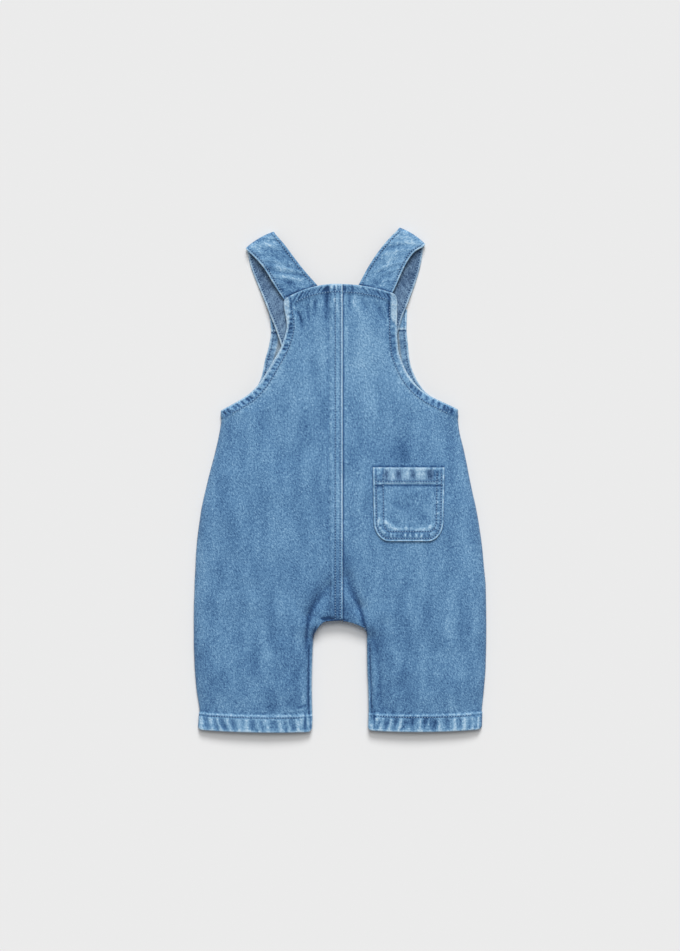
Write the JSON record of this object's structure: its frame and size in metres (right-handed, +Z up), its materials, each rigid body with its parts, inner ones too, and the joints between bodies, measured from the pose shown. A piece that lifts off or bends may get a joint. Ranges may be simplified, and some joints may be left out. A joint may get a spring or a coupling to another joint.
{
  "type": "dungarees",
  "caption": "Baby's sleeveless denim dungarees with two shoulder straps, a bib and one patch pocket, laid flat with the back uppermost.",
  "frame": {"origin": "under the middle of the garment's outline, on the surface it lies on", "axes": "+Y from the leg hems to the shoulder straps, +X to the wearer's right, +Z up out of the back"},
  "size_m": [0.2749, 0.4746, 0.0171],
  "materials": {
    "denim": "washed mid-blue cotton twill",
    "denim_strap": "washed mid-blue cotton twill, paler where it is worn",
    "button_metal": "antique brass jeans button"
  },
  "bodies": {
    "root": {"back_left": "denim", "back_right": "denim", "front_left": "denim", "front_right": "denim", "strap_left": "denim_strap", "strap_right": "denim_strap", "pocket": "denim", "button_left": "button_metal", "button_right": "button_metal"}
  },
  "joints": []
}
